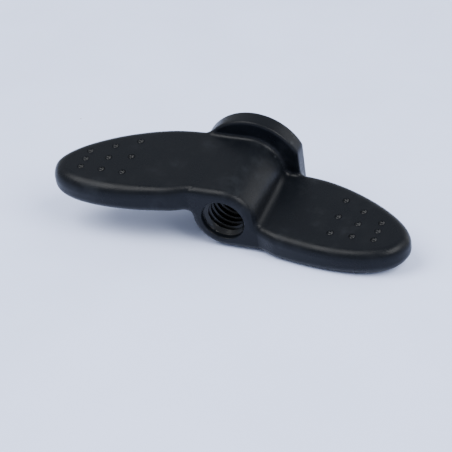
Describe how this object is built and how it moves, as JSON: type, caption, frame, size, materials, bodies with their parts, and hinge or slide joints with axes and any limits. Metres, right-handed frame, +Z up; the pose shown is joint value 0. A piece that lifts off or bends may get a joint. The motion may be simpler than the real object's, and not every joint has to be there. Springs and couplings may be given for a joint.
{
  "type": "wing nut",
  "caption": "Wing nut with two swept leaf-shaped wings, a round hub, a flanged seat and a threaded bush moulded in, lying on its side.",
  "frame": {"origin": "centre of the seat face, where the thread axis leaves the flange", "axes": "+X along the wings, +Z up as the nut lies on a table, and +Y away from the mouth. The thread axis lies in the Y-Z plane and rises 12.31 degrees from the mouth to the seat, because the nut rests on the front edge of its low wing and on its wider flange rim."},
  "size_m": [0.0664, 0.0246, 0.0197],
  "materials": {
    "moulded_plastic": "fine satin, as moulded",
    "blackened_steel": "black oxide, lightly oiled"
  },
  "bodies": {
    "root": {"wing_body": "moulded_plastic", "threaded_bush": "blackened_steel"}
  },
  "joints": []
}
